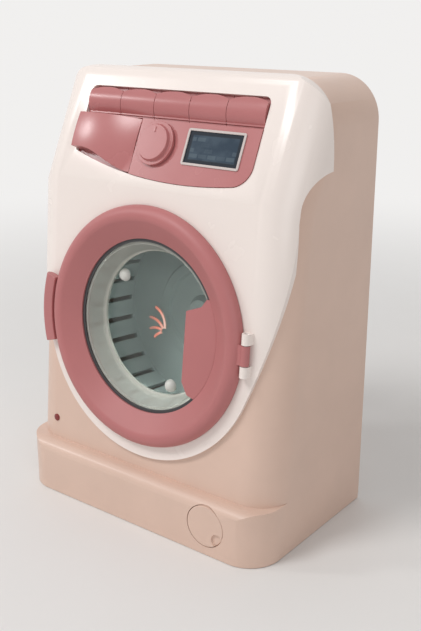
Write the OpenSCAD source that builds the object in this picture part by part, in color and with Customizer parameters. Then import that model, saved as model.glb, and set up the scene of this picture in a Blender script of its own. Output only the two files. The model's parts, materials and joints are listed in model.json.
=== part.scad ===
// Toy front-loading washing machine, seen from the front with the door hinge on the right.
// Millimetres, +Z up, front towards -Y, origin at the middle of the resting face.
// Two tilted frames carry the detail: on_front() for the door and drum, on_console() for the controls.
// In both, X is across, Y is up the face and Z is out of the face, with Z = 0 on the beige body.

/* [Overall size] */
// Height from the resting face to the top of the white shell
height = 190; // [180:1:230]
// Width across the white shell
width = 138; // [136:1:170]
// Depth from the plinth front to the rear rim
depth = 80; // [79:1:100]

/* [Body] */
// Wall of the beige body
wall = 2.2; // [1.8:0.1:2.8]
// Thickness of the white front shell that lies on the body
skin = 1.6; // [1.2:0.1:2.2]
// Radius of the two upright front corners
corner_r = 15; // [10:1:18]
// Radius of the two side edges of the console
console_r = 16; // [11:1:18]
// Radius of the long edges between the top and the sides
top_edge_r = 18; // [8:1:20]
// Radius of the edge between the console and the top
top_front_r = 6; // [4:1:8]
// Height of the plinth
plinth_h = 24; // [20:1:26]
// How far the plinth's sides lie inside the body's
plinth_inset = 0.1; // [0.05:0.05:0.3]
// Step of the ledge from the plinth to the front
plinth_step = 7; // [4:1:9]
// Radius of the plinth's upper edge
plinth_edge_r = 5; // [3:1:6]
// Lean of the front from upright, in degrees
front_lean = 5.5; // [3:0.5:8]
// Lean of the console from upright, in degrees
console_lean = 25; // [20:1:28]
// Height of the console above the bend between front and console
console_rise = 46; // [44:1:50]
// Thickness of the base plate
base_t = 2.4; // [2:0.1:3]
// Thickness of the rear cover
cover_t = 2.4; // [2:0.1:3]

/* [White shell] */
// Margin of the shell round the lower half of the door
bib_margin = 5.5; // [4:0.5:7]
// How far the side flanges reach back past the middle
flange_y = 3; // [1:1:10]
// Radius of the notch below each flange
notch_r = 19; // [14:1:22]
// Height of the shell above the flange tips
flange_h = 35; // [30:1:38]

/* [Door] */
// Outer radius of the pink door ring
door_r = 51; // [46:1:51]
// Radius of the window in the ring
window_r = 37; // [34:0.5:38]
// Height of the door centre
door_z = 87; // [84:1:90]
// Radius of the round opening behind the door
mouth_r = 40; // [39.5:0.5:41]
// Height of the ring's crown above its back face
ring_crown = 4.7; // [4:0.1:6]
// Depth of the clear bowl behind the ring
bowl_depth = 8; // [6:0.5:14]
// Wall of the clear bowl
bowl_wall = 1.6; // [1.2:0.1:2]
// Radius of the hinge pin
pin_r = 1; // [0.8:0.1:1.2]

/* [Drum] */
// Outer radius of the drum
drum_r = 43; // [42:0.5:44]
// Length of the drum
drum_len = 35; // [28:1:36]
// Wall of the drum
drum_wall = 1.6; // [1.2:0.1:2]
// Number of slots round the drum
drum_slots = 28; // [20:1:32]
// Radius of the drum shaft
shaft_r = 3; // [2.5:0.1:3.5]

/* [Gears] */
// Size of a tooth, as pitch diameter over number of teeth
tooth_module = 1; // [0.95:0.01:1.02]
// Teeth of the drum gear
drum_teeth = 50; // [48:1:52]
// Teeth of the large wheel of the reduction gear
wheel_teeth = 36; // [34:1:38]
// Teeth of both pinions
pinion_teeth = 12; // [12:1:13]
// Direction from the drum axis to the motor, in degrees
gear_angle = 40; // [36:1:44]

/* [Controls] */
// Width of the pink controls
panel_w = 93; // [90:1:96]
// Height of the panel below the keys
panel_h = 25.3; // [25:0.1:26]
// Height of the slot that the keys stand in
key_slot_h = 13; // [12:0.5:13.5]
// Number of keys
key_count = 5; // [5:1:5]
// Travel of a key
key_travel = 1.5; // [1:0.1:1.6]
// Radius of the programme knob
knob_r = 9.2; // [8:0.1:9.5]
// Height of the knob above the panel
knob_h = 2.8; // [2:0.2:7]
// Width and height of the display
lcd_size = [26, 13]; // [12:0.5:27]
// Width of the detergent drawer's front
drawer_w = 33.3; // [31:0.1:34]
// How far the drawer pulls out
drawer_travel = 18; // [12:1:20]

/* [Fits] */
// Gap of a moving part in its opening
gap = 0.3; // [0.25:0.05:0.4]
// Gap of a fixed part set into another
seat = 0.15; // [0.1:0.05:0.2]
// Radial clearance of a turning shaft in its bore
run = 0.05; // [0.03:0.01:0.1]

/* [Hidden] */
$fn = 64;
eps = 0.01;
far = 600;

body_color = "#d8bcae";
shell_color = "#ece3de";
pink_color = "#b4716f";
dark_color = "#3b3f42";

y_front = -depth / 2;
y_back = depth / 2;
body_w = width - 2 * skin;
top_z = height - skin;
bend_z = height - console_rise;
cover_y = y_back - cover_t;
inner_w = body_w - 2 * wall;

// The beige front and console at height z
function front_y(z) = y_front + plinth_step + (z - plinth_h) * tan(front_lean);
bend_y = front_y(bend_z);
function console_y(z) = bend_y + (z - bend_z) * tan(console_lean);
console_z = bend_z + 21;

module on_front() {
    translate([0, front_y(door_z), door_z]) rotate([90 - front_lean, 0, 0]) children();
}

module on_console() {
    translate([0, console_y(console_z), console_z]) rotate([90 - console_lean, 0, 0]) children();
}

// Extrudes an outline drawn as (x, z) through the whole depth
module through_y() {
    rotate([90, 0, 0]) translate([0, 0, -far / 2]) linear_extrude(far) children();
}

// Extrudes an outline drawn as (y, z) through the whole width
module through_x() {
    rotate([90, 0, 90]) translate([0, 0, -far / 2]) linear_extrude(far) children();
}

module above(z) {
    translate([-far / 2, -far / 2, z]) cube(far);
}

module rounded_rect(w, h, r) {
    square([w - 2 * r, h], center = true);
    square([w, h - 2 * r], center = true);
    for (sx = [-1, 1], sy = [-1, 1])
        translate([sx * (w / 2 - r), sy * (h / 2 - r)]) circle(r);
}

module tube(r_out, r_in, z0, z1) {
    translate([0, 0, z0]) difference() {
        cylinder(r = r_out, h = z1 - z0);
        translate([0, 0, -1]) cylinder(r = r_in, h = z1 - z0 + 2);
    }
}

module rod(r, z0, z1) {
    translate([0, 0, z0]) cylinder(r = r, h = z1 - z0);
}

// Pan-head screw along Z, with the underside of its head at 0 and its shank downwards
screw_r = 1.2;
screw_head_r = 2.6;
screw_head_h = 1.6;
screw_slot_len = 3.2;
screw_slot_w = 0.7;
screw_slot_depth = 0.8;
// Room round a screw head in its countersunk seat
head_gap = 0.4;

module screw(length) {
    difference() {
        union() {
            rod(screw_head_r, 0, screw_head_h);
            rod(screw_r, -length, 0.1);
        }
        for (turn = [0, 90])
            rotate([0, 0, turn])
                translate([-screw_slot_len / 2, -screw_slot_w / 2, screw_head_h - screw_slot_depth])
                    cube([screw_slot_len, screw_slot_w, screw_head_h]);
    }
}

// Body envelope, o millimetres outside the beige surface

// Plan of the front with its two round corners, open to the rear
module front_plan(o, edge_r = corner_r) {
    w = body_w / 2 + o;
    r = edge_r + o;
    translate([-w + r, -o]) square([2 * (w - r), 3 * depth]);
    translate([-w, r - o]) square([2 * w, 3 * depth]);
    for (s = [-1, 1])
        translate([s * (w - r), r - o]) circle(r);
}

module leaning_block(lean, y0, z0, edge_r, o) {
    translate([0, y0, z0]) rotate([-lean, 0, 0]) translate([0, 0, -far / 2])
        linear_extrude(far) front_plan(o, edge_r);
}

// Front view with round upper corners
module crown_outline(o) {
    w = body_w / 2 + o;
    r = top_edge_r + o;
    t = top_z + o;
    translate([-w, -height]) square([2 * w, height + t - r]);
    translate([-w + r, -height]) square([2 * (w - r), height + t]);
    for (s = [-1, 1])
        translate([s * (w - r), t - r]) circle(r);
}

// Side view with a round edge between console and top
module side_outline(o, y_rear) {
    slope = [sin(console_lean), cos(console_lean)];
    out = [-cos(console_lean), sin(console_lean)];
    centre_z = top_z - top_front_r;
    centre_y = bend_y + (top_front_r + out[1] * (centre_z - bend_z)) / slope[1];
    centre = [centre_y, centre_z];
    r = top_front_r + o;
    low = centre + r * out - 2 * height * slope;
    polygon([low, centre + r * out, centre, centre + [0, r],
        [y_rear, top_z + o], [y_rear, low[1]]]);
    translate(centre) circle(r);
}

module envelope(o, y_rear = y_back) {
    intersection() {
        leaning_block(front_lean, front_y(plinth_h), plinth_h, corner_r, o);
        leaning_block(console_lean, bend_y, bend_z, console_r, o);
        through_y() crown_outline(o);
        through_x() side_outline(o, y_rear);
        above(base_t - (o < 0 ? 1 : 0));
    }
}

module plinth(o, y_rear, z_low) {
    r = plinth_edge_r + o;
    intersection() {
        translate([0, y_front - plinth_inset, z_low]) linear_extrude(height)
            front_plan(o - plinth_inset);
        through_x() {
            translate([y_front - o, -height])
                square([y_rear - y_front + o, height + plinth_h + o - r]);
            translate([y_front - o + r, -height])
                square([y_rear - y_front + o - r, height + plinth_h + o]);
            translate([y_front - o + r, plinth_h + o - r]) circle(r);
        }
    }
}

// Places of fixings, each shared by the parts that meet there

boss_r = 3.2;
pilot_r = screw_r;
pilot_depth = 9;
rib_t = 2;
// Rear cover bosses, as (x, z)
rear_low_z = 30;
rear_high_z = bend_z + 6;
rear_fix_x = inner_w / 2 - boss_r - rib_t;
rear_fix = [for (s = [-1, 1], z = [rear_low_z, rear_high_z]) [s * rear_fix_x, z]];
rear_boss_y = 12;
// Base plate bosses, as (x, y)
base_fix_x = inner_w / 2 - boss_r - 2 * rib_t;
base_fix_in = 12;
base_fix = [for (s = [-1, 1], y = [y_front + base_fix_in, y_back - base_fix_in]) [s * base_fix_x, y]];
base_boss_h = 20;
// White shell bosses on the front, under the door ring
shell_fix_at = 34;
shell_fix = [for (sx = [-1, 1], sy = [-1, 1]) [sx, sy] * shell_fix_at];
shell_boss_back = -5;
// Gear plate posts on the front
plate_fix_x = inner_w / 2 - boss_r - 5;
plate_fix_y = 40;
plate_fix = [for (sx = [-1, 1], sy = [-1, 1]) [sx * plate_fix_x, sy * plate_fix_y]];

// Depths on the front frame
drum_front = -6;
drum_back = drum_front - drum_len;
drum_to_plate = 5.5;
plate_front = drum_back - drum_to_plate;
plate_t = 2.5;
plate_back = plate_front - plate_t;

mouth_collar_t = 2;
mouth_collar_gap = 0.8;

module mouth_cut(r, n0, n1) {
    on_front() rod(r, n0, n1);
}

module body_shell() color(body_color) {
    difference() {
        union() {
            envelope(0);
            plinth(0, y_back, base_t);
        }
        difference() {
            envelope(-wall, y_back + 5);
            body_bosses();
        }
        difference() {
            plinth(-wall, y_back + 5, base_t - 1);
            body_bosses();
        }
        mouth_cut(mouth_r, -10, 10);
        on_front() latch_slot();
        on_console() translate([0, (key_top + panel_bottom) / 2, -5])
            linear_extrude(20) square([panel_w + 3, key_top - panel_bottom + 3], center = true);
        for (p = shell_fix)
            on_front() translate(p) rod(boss_r + seat, -10, 10);
        for (p = plate_fix)
            on_front() translate([p[0], p[1], 0]) rod(pilot_r, plate_front - 1, plate_front + pilot_depth);
        for (p = rear_fix)
            translate([p[0], cover_y, p[1]]) rotate([-90, 0, 0]) rod(pilot_r, -pilot_depth, 3);
        for (p = base_fix)
            translate([p[0], p[1], base_t]) rod(pilot_r, -1, pilot_depth);
        filter_seat(filter_r + gap, filter_depth);
        on_front() translate(lens_place) rod(lens_r, -wall - 1, 5);
    }
    // Collar round the mouth, just in front of the drum
    on_front() tube(mouth_r + mouth_collar_t, mouth_r, drum_front + mouth_collar_gap, -wall / 2);
}

// Bosses and posts inside the body, left standing when the cavity is cut
module body_bosses() {
    for (p = plate_fix)
        on_front() translate(p) rod(boss_r, plate_front, 5);
    for (p = rear_fix) {
        translate([p[0], rear_boss_y, p[1]]) rotate([-90, 0, 0]) rod(boss_r, 0, cover_y - rear_boss_y);
        translate([p[0] > 0 ? p[0] : p[0] - 10, rear_boss_y, p[1] - rib_t / 2])
            cube([10, cover_y - rear_boss_y, rib_t]);
    }
    for (p = base_fix) {
        translate([p[0], p[1], 0]) rod(boss_r, 0, base_boss_h);
        translate([p[0] > 0 ? p[0] : p[0] - 12, p[1] - rib_t / 2, 0]) cube([12, rib_t, base_boss_h]);
    }
}

// White front shell

bib_r = door_r + bib_margin;
notch_z = height - flange_h;
flare_z = notch_z - notch_r;
shell_corner_r = corner_r + skin;
// How deep the notch's front end lies in the round corner, and how far out the shell is there
notch_in = (flange_y - notch_r - front_y(flare_z)) * cos(front_lean) + skin;
flare_in = shell_corner_r - max(0, min(notch_in, shell_corner_r));
flare_x = width / 2 - shell_corner_r + sqrt(pow(shell_corner_r, 2) - pow(flare_in, 2));

// Side view of the region that the shell covers, with the round notch below the flange
module shell_side_region() {
    through_x() difference() {
        translate([-far / 2, 0]) square([far / 2 + flange_y, far / 2]);
        translate([flange_y, notch_z - notch_r]) circle(notch_r);
        translate([flange_y - notch_r, -1]) square([far / 2, notch_z - notch_r + 1]);
    }
}

// Front view of the region: a round bib, and two large arcs that leave it smoothly and rise to the notches
module shell_front_region() {
    rise = flare_z - door_z;
    sweep_r = (flare_x * flare_x + rise * rise - bib_r * bib_r) / 2 / (flare_x - bib_r);
    low = -rise * bib_r / (sweep_r - bib_r);
    through_y() {
        translate([0, door_z]) {
            circle(bib_r);
            intersection() {
                translate([flare_x - sweep_r, rise]) circle(sweep_r);
                translate([sweep_r - flare_x, rise]) circle(sweep_r);
                translate([-flare_x, low]) square([2 * flare_x, rise - low + eps]);
            }
        }
        translate([-width, flare_z]) square([2 * width, height]);
    }
}

module front_shell() color(shell_color) {
    difference() {
        union() {
            intersection() {
                difference() {
                    envelope(skin);
                    envelope(0, y_back + 1);
                }
                shell_side_region();
                shell_front_region();
            }
            on_front() {
                for (p = shell_fix)
                    translate(p) rod(boss_r, shell_boss_back, skin / 2);
                for (s = [0, 1])
                    mirror([0, s, 0]) fixed_knuckle();
            }
        }
        mouth_cut(mouth_r, -10, 10);
        on_front() {
            for (p = shell_fix)
                translate(p) rod(pilot_r, shell_boss_back - 1, skin / 2);
            pin_hole(pin_r);
            latch_slot();
        }
        on_console() translate([0, 0, -5]) linear_extrude(20) console_outline(0);
    }
}

// Door hinge, on the front frame: pin along the face, just right of the ring
hinge_x = door_r + 2;
knuckle_r = 1.8;
hinge_n = skin + knuckle_r + gap;
knuckle_half = 4;
knuckle_len = 4.5;

module along_hinge(y0, y1, r) {
    translate([hinge_x, y0, hinge_n]) rotate([-90, 0, 0]) cylinder(r = r, h = y1 - y0);
}

module pin_hole(r) {
    along_hinge(-30, 30, r);
}

module fixed_knuckle() {
    y0 = knuckle_half + gap;
    along_hinge(y0, y0 + knuckle_len, knuckle_r);
    translate([hinge_x - knuckle_r, y0, skin / 2])
        cube([2 * knuckle_r, knuckle_len, hinge_n - skin / 2]);
}

latch_x = -45.5;
latch_size = [3, 9];
latch_gap = 0.8;

module latch_slot() {
    translate([latch_x, 0, 0]) linear_extrude(20, center = true)
        square([latch_size[0] + 2 * latch_gap, latch_size[1] + 2 * latch_gap], center = true);
}

// Rear cover and base

switch_place = [-34, rear_high_z];
switch_travel = 4;
// Width and height of the slider's opening in its middle position
switch_opening = [10, 4.6];
speaker_place = [28, rear_high_z];
speaker_r = 14;
speaker_rim = 3;
sound_slot_w = 1.6;
sound_slot_pitch = 3.4;

module rear_cover() color(body_color) {
    difference() {
        intersection() {
            through_y() crown_outline(-wall - seat);
            translate([-far / 2, cover_y, base_t + seat]) cube([far, cover_t, far]);
        }
        for (p = rear_fix)
            translate([p[0], cover_y, p[1]]) rotate([-90, 0, 0]) {
                rod(screw_r + seat, -1, 5);
                rod(screw_head_r + head_gap, cover_t - screw_head_h, 5);
            }
        // Speaker slots
        for (i = [-3:3]) {
            up = i * sound_slot_pitch;
            half = sqrt(pow(speaker_r - 2, 2) - up * up);
            translate([speaker_place[0] - half, cover_y - 1, speaker_place[1] + up - sound_slot_w / 2])
                cube([2 * half, 5, sound_slot_w]);
        }
        switch_cut(cover_y - 1, 5);
    }
}

// Opening in which the power slider runs
module switch_cut(y, length) {
    w = switch_opening[0] + switch_travel;
    translate([switch_place[0] - w / 2, y, switch_place[1] - switch_opening[1] / 2])
        cube([w, length, switch_opening[1]]);
}

module base_plate() color(body_color) {
    difference() {
        intersection() {
            translate([0, y_front - plinth_inset, 0]) linear_extrude(base_t)
                front_plan(-plinth_inset);
            translate([-far / 2, y_front, 0]) cube([far, depth, base_t]);
        }
        translate([bay_x0, bay_y0, -1]) cube([bay_w, bay_d, 5]);
        for (p = base_fix)
            translate([p[0], p[1], 0]) {
                rod(screw_r + seat, -1, 5);
                rod(screw_head_r + head_gap, -1, screw_head_h);
            }
    }
}

module rear_screws() color("silver") {
    for (p = rear_fix)
        translate([p[0], y_back - screw_head_h, p[1]]) rotate([-90, 0, 0]) screw(8);
}

module base_screws() color("silver") {
    for (p = base_fix)
        translate([p[0], p[1], screw_head_h]) rotate([180, 0, 0]) screw(8);
}

module shell_screws() color("silver") {
    on_front() for (p = shell_fix)
        translate([p[0], p[1], shell_boss_back]) rotate([180, 0, 0]) screw(5);
}

// Filter cap in the plinth and the lens above it

filter_r = 9;
filter_depth = 1.4;
filter_place = [40.5, 13];
filter_notch_r = 3;
filter_notch = [6.2, -5];
lens_r = 1.6;
lens_place = [-52, -54];

module filter_seat(r, d) {
    translate([filter_place[0], y_front - 1, filter_place[1]]) rotate([-90, 0, 0]) rod(r, 0, 1 + d);
}

module filter_cap() color(body_color) {
    difference() {
        translate([filter_place[0], y_front, filter_place[1]]) rotate([-90, 0, 0])
            rod(filter_r, 0, filter_depth);
        // Finger notch at the lower right
        translate([filter_place[0] + filter_notch[0], y_front - 1, filter_place[1] + filter_notch[1]])
            rotate([-90, 0, 0]) rod(filter_notch_r, 0, filter_depth + 0.5);
    }
}

module indicator_lens() color("#7a2f32") {
    on_front() translate(lens_place) {
        rod(lens_r, -wall, 0);
        intersection() {
            translate([0, 0, -2.2]) sphere(r = 3);
            rod(lens_r, -eps, 3);
        }
    }
}

// Battery bay in the base

cell_r = 7.1;
cell_middle_y = 10;
cell_len = 50;
cell_pitch = 15.2;
cell_count = 3;
bay_x0 = -37;
bay_w = 66.5;
bay_d = cell_count * cell_pitch + 0.6;
bay_y0 = cell_middle_y - bay_d / 2;
box_wall = 1.4;
box_x0 = -29;
box_h = 18;
battery_screw_at = [bay_x0 + 3.5, cell_middle_y];

module cell_centres() {
    for (i = [0:cell_count - 1])
        translate([0, cell_middle_y + (i - (cell_count - 1) / 2) * cell_pitch, base_t + cell_r + 1.5])
            children();
}

module battery_box() color("#9a9893") {
    difference() {
        union() {
            translate([box_x0 - box_wall, bay_y0 - box_wall, base_t])
                cube([2 * (box_wall - box_x0), bay_d + 2 * box_wall, box_h]);
            translate([battery_screw_at[0], battery_screw_at[1], base_t]) rod(boss_r, 0, 8);
            translate([battery_screw_at[0], battery_screw_at[1] - rib_t / 2, base_t])
                cube([5, rib_t, 8]);
        }
        translate([box_x0, bay_y0, base_t - 1]) cube([-2 * box_x0, bay_d, box_h - box_wall + 1]);
        translate([battery_screw_at[0], battery_screw_at[1], base_t]) rod(pilot_r, -1, 6);
    }
}

module batteries() color("#5a6b4d") {
    cell_centres() rotate([0, 90, 0]) {
        rod(cell_r, -cell_len / 2, cell_len / 2 - 1.2);
        rod(2.7, cell_len / 2 - 1.3, cell_len / 2);
    }
}

module battery_contacts() color("silver") {
    cell_centres() {
        translate([cell_len / 2 + 0.3, -4.5, -5]) cube([0.5, 9, 10]);
        translate([-cell_len / 2 - 3.7, -4.5, -5]) cube([0.5, 9, 10]);
        translate([-cell_len / 2, 0, 0]) rotate([0, -90, 0]) {
            tube(3, 2.2, 0.2, 1.2);
            tube(4.2, 3, 1.2, 3.2);
        }
    }
}

module battery_cover() color(body_color) {
    difference() {
        translate([bay_x0 + gap, bay_y0 + gap, 0.2])
            cube([bay_w - 2 * gap, bay_d - 2 * gap, base_t - 0.2]);
        translate(battery_screw_at) {
            rod(screw_r + seat, -1, 5);
            rod(screw_head_r + head_gap, -1, screw_head_h);
        }
        // Grip grooves at the end away from the screw
        for (i = [0:3])
            translate([bay_x0 + bay_w - 8 + i * 1.8, -2, -1]) cube([0.8, 24, 1.6]);
    }
}

module battery_screw() color("silver") {
    translate([battery_screw_at[0], battery_screw_at[1], screw_head_h]) rotate([180, 0, 0]) screw(6);
}

// Controls, on the console frame

key_top = 18;
key_bottom = key_top - key_slot_h;
panel_top = key_bottom;
panel_bottom = panel_top - panel_h;
panel_x = panel_w / 2;
split_x = drawer_w - panel_x;
flange_t = 1.6;
panel_face = skin + 0.5;

// Outline of the pink area: straight sides, and a lower edge that is one large arc, which runs
// into the right side through a smaller one
panel_corner_r = 9;
panel_top_r = 3;
panel_arc_r = 190;
panel_low_x = 12;
panel_arc = [panel_low_x, panel_bottom + panel_arc_r];
panel_corner_x = panel_x - panel_corner_r;
panel_corner = [panel_corner_x, panel_arc[1]
    - sqrt(pow(panel_arc_r - panel_corner_r, 2) - pow(panel_corner_x - panel_low_x, 2))];

// Height of the lower edge at x
function panel_low(x) = panel_arc[1] - sqrt(pow(panel_arc_r, 2) - pow(x - panel_low_x, 2));

module console_outline(o) {
    x = panel_x + o;
    r = panel_corner_r + o;
    top = key_top + o;
    top_r = panel_top_r + o;
    past = panel_corner + 4 * (panel_corner - panel_arc) / norm(panel_corner - panel_arc) * r;
    intersection() {
        translate(panel_arc) circle(panel_arc_r + o);
        polygon([[-x, past[1]], past, panel_corner, [panel_corner[0], 0], [-x, 0]]);
    }
    translate(panel_corner) circle(r);
    translate([-x, panel_corner[1]]) square([2 * x, top - top_r - panel_corner[1]]);
    translate([-x + top_r, 0]) square([2 * (x - top_r), top]);
    for (s = [-1, 1])
        translate([s * (x - top_r), top - top_r]) circle(top_r);
}

module panel_half(o) {
    intersection() {
        console_outline(o);
        translate([-far / 2, -far / 2]) square([far, far / 2 + panel_top]);
    }
}

knob_place = [-2.5, -5];
lcd_place = [26.2, -4.6];
knob_shaft_r = 3;
board_front = -10;
board_t = 1.6;
board_post_r = 2.6;
board_post_y = panel_bottom + 4.2;
board_posts = [[-5, board_post_y], [37, board_post_y]];

// Detergent tray, level, behind the drawer front
tray_w = drawer_w - 5;
tray_x = -panel_x + drawer_w / 2;
tray_z0 = console_z - 9;
tray_z1 = console_z - 1.8;
tray_y1 = y_back - 24;
tray_wall = 1.2;

module tunnel(o, y1) {
    translate([tray_x - tray_w / 2 - o, y_front, tray_z0 - o])
        cube([tray_w + 2 * o, y1 - y_front, tray_z1 - tray_z0 + 2 * o]);
}

module behind_console(n) {
    on_console() translate([-far / 2, -far / 2, n - far]) cube(far);
}

module control_panel() color(pink_color) {
    difference() {
        union() {
            on_console() {
                // Flange under the edge of the shell
                translate([0, 0, -flange_t]) linear_extrude(flange_t)
                    intersection() {
                        panel_half(1);
                        translate([-far / 2, -far / 2]) square([far, far / 2 + panel_top - 0.2]);
                    }
                // Raised face right of the drawer
                translate([0, 0, -eps]) linear_extrude(panel_face + eps)
                    intersection() {
                        panel_half(-seat);
                        translate([split_x, -far / 2]) square(far);
                    }
                for (p = board_posts)
                    translate(p) rod(board_post_r, board_front, -flange_t + eps);
            }
            // Runner for the detergent tray
            intersection() {
                tunnel(gap + tray_wall, tray_y1 + 3);
                behind_console(-flange_t + eps);
            }
        }
        tunnel(gap, far);
        on_console() {
            translate(knob_place) rod(knob_shaft_r + gap, -5, 5);
            translate([lcd_place[0], lcd_place[1], -5]) linear_extrude(10)
                square(lcd_size + 2 * lcd_edge * [1, 1], center = true);
            for (p = board_posts)
                translate(p) rod(pilot_r, board_front - 1, -3);
        }
    }
}

// The window's edge is held in the panel under the frame
lcd_edge = 0.5;
bezel_w = 1;
bezel_t = 0.5;

module lcd_bezel() color("#b9b6b3") {
    on_console() translate([lcd_place[0], lcd_place[1], panel_face]) difference() {
        linear_extrude(bezel_t) rounded_rect(lcd_size[0] + 2 * bezel_w, lcd_size[1] + 2 * bezel_w, bezel_w);
        translate([0, 0, -1]) linear_extrude(3) square(lcd_size, center = true);
    }
}

module lcd_window() color("#2c3a44") {
    thick = 1.4;
    on_console() translate([lcd_place[0], lcd_place[1], panel_face - thick])
        linear_extrude(thick) square(lcd_size + 2 * (lcd_edge - seat) * [1, 1], center = true);
}

module lcd_module() color("#56615a") {
    on_console() translate([lcd_place[0], lcd_place[1], board_front]) {
        linear_extrude(5.5) square(lcd_size + [4, 4], center = true);
        linear_extrude(6.6) square(lcd_size - [1, 1], center = true);
    }
}

module board_outline() {
    translate([-panel_x + 2.5, 6.5]) square([panel_w - 5, key_top - 6.5 - 0.5]);
    translate([-10, panel_bottom + 1]) square([panel_x + 7.5, 7 - panel_bottom - 1]);
}

module circuit_board() color("#2f6b4a") {
    on_console() difference() {
        translate([0, 0, board_front - board_t]) linear_extrude(board_t) board_outline();
        for (p = board_posts)
            translate(p) rod(screw_r + seat, board_front - 5, board_front + 1);
    }
}

module board_screws() color("silver") {
    on_console() for (p = board_posts)
        translate([p[0], p[1], board_front - board_t]) rotate([180, 0, 0]) screw(7);
}

// Keys in one slot, with stems through the carrier to the domes on the board
key_pitch = (panel_w - 1) / key_count;
key_w = key_pitch - 0.2;
key_low = key_bottom + 1.3;
key_high = key_top - 0.5;
key_mid = (key_low + key_high) / 2;
key_face = skin + 1.2;
// Back of the key's face, and thickness of the flange that keeps it behind the shell
key_back = -1.2;
key_flange_t = 1.2;
key_flange_back = -1.4;
stem = 4;
carrier_front = -4.5;
carrier_back = -6;
stem_end = -7;
function key_x(i) = (i - (key_count + 1) / 2) * key_pitch;

// Front view of a key, with a shallow arch along its upper edge
module key_outline(w) {
    arch_r = 22;
    sag = arch_r - sqrt(arch_r * arch_r - w * w / 4);
    translate([-w / 2, key_low]) square([w, key_high - sag - key_low]);
    intersection() {
        translate([0, key_high - arch_r]) circle(arch_r);
        translate([-w / 2, key_low]) square([w, key_high - key_low]);
    }
}

// Side view of a key, crowned, highest near its upper edge
module key_side() {
    crown_r = 9;
    mid = key_mid + 1.2;
    intersection() {
        translate([mid, key_face - crown_r]) circle(crown_r);
        translate([key_low, key_back]) square([key_high - key_low, 10]);
    }
    translate([key_low, key_back]) square([key_high - key_low, 0.4 - key_back]);
}

module key(i) color(pink_color) {
    on_console() translate([key_x(i), 0, 0]) {
        intersection() {
            translate([0, 0, key_back]) linear_extrude(10) key_outline(key_w);
            through_x() key_side();
            translate([-key_x(i), 0, -2]) linear_extrude(20) console_outline(-gap);
        }
        translate([-key_w / 2, key_low - 0.7, key_flange_back])
            cube([key_w, key_high - key_low + 1.5, key_flange_t]);
        translate([-stem / 2, key_mid - stem / 2, stem_end]) cube([stem, stem, -stem_end - 0.5]);
    }
}

module key_carrier() color("#c8c3bf") {
    on_console() difference() {
        union() {
            translate([-panel_x - 1, key_bottom, carrier_back])
                cube([panel_w + 2, key_slot_h + 1, carrier_front - carrier_back]);
            for (s = [-1, 1]) {
                translate([s * (panel_x + 0.45) - 0.55, key_bottom, carrier_back])
                    cube([1.1, key_slot_h + 1, -carrier_back]);
                translate([s * (panel_x - 4) - 1, key_mid - 3, board_front])
                    cube([2, 6, carrier_back - board_front + eps]);
            }
        }
        for (i = [1:key_count])
            translate([key_x(i) - stem / 2 - gap, key_mid - stem / 2 - gap, -20])
                cube([stem + 2 * gap, stem + 2 * gap, 30]);
    }
}

module keypad_mat() color("#d9d4cb") {
    on_console() {
        translate([-panel_x + 7, key_mid - 3.5, board_front]) cube([panel_w - 14, 7, 0.4]);
        for (i = [1:key_count])
            translate([key_x(i), key_mid, board_front])
                cylinder(r1 = 3.2, r2 = 2, h = -board_front + stem_end - key_travel - 0.1);
    }
}

// Programme knob on a shaft through the panel

module program_knob() color(pink_color) {
    base = panel_face + gap;
    cap_r = knob_r - 1.3;
    skirt_t = 1.3;
    pointer = [1, 2.2, 0.3];
    on_console() translate(knob_place) {
        rod(knob_shaft_r, board_front + 2.5, base + 1);
        rod(knob_r, base, base + skirt_t);
        translate([0, 0, base]) cylinder(r1 = cap_r + 0.4, r2 = cap_r - 0.6, h = knob_h);
        // Pointer near the rim of the cap
        translate([-pointer[0] / 2, cap_r - 1.6 - pointer[1], base + knob_h - eps]) cube(pointer);
    }
}

module knob_switch() color(dark_color) {
    on_console() translate(knob_place) difference() {
        translate([-6, -6, board_front]) cube([12, 12, 6]);
        rod(knob_shaft_r + run, board_front + 2, 0);
    }
}

// Front view of the drawer: its lower edge is level at the left, over the finger gap, and then
// swings down to run along the edge of the pink area
module drawer_outline(x0, x1) {
    edge_gap = 0.7;
    level = 5;
    steps = 24;
    top = panel_top - gap;
    y0 = panel_low(x0) + edge_gap;
    y1 = panel_low(x1) + edge_gap;
    swing = [for (i = [0:steps]) [x0 + level + (x1 - x0 - level) * i / steps,
        (y0 + y1) / 2 + (y0 - y1) / 2 * cos(180 * i / steps)]];
    polygon(concat([[x0, top], [x0, y0]], swing, [[x1, top]]));
}

// The drawer's front is a shallow dome that stands out most at the left, on a level tray
module detergent_drawer() color(pink_color) {
    x0 = -panel_x + gap;
    x1 = split_x - gap;
    bulge = 4.6;
    dome_r = 75;
    dome = [x0 + 9, (panel_top + panel_bottom) / 2 + 4, skin + bulge - dome_r];
    difference() {
        union() {
            on_console() {
                intersection() {
                    linear_extrude(20) drawer_outline(x0, x1);
                    translate(dome) rotate([90, 0, 0]) sphere(r = dome_r, $fn = 128);
                }
                linear_extrude(panel_face - 0.1) drawer_outline(x0, x1);
            }
            intersection() {
                tunnel(0, tray_y1);
                behind_console(1);
            }
        }
        // Tray hollow, open at the top
        intersection() {
            translate([tray_x - tray_w / 2 + tray_wall, y_front, tray_z0 + tray_wall])
                cube([tray_w - 2 * tray_wall, tray_y1 - tray_wall - y_front, 40]);
            behind_console(-1.2);
        }
    }
}

// Door, on the front frame

ring_back = skin + 0.3;
lip_n = ring_back - 0.9;
rim_r = ring_crown - 0.5;
rim_centre = [door_r - rim_r, ring_back + 0.5];
collar_back = -3.5;
collar_r = mouth_r - 1.2;

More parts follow.
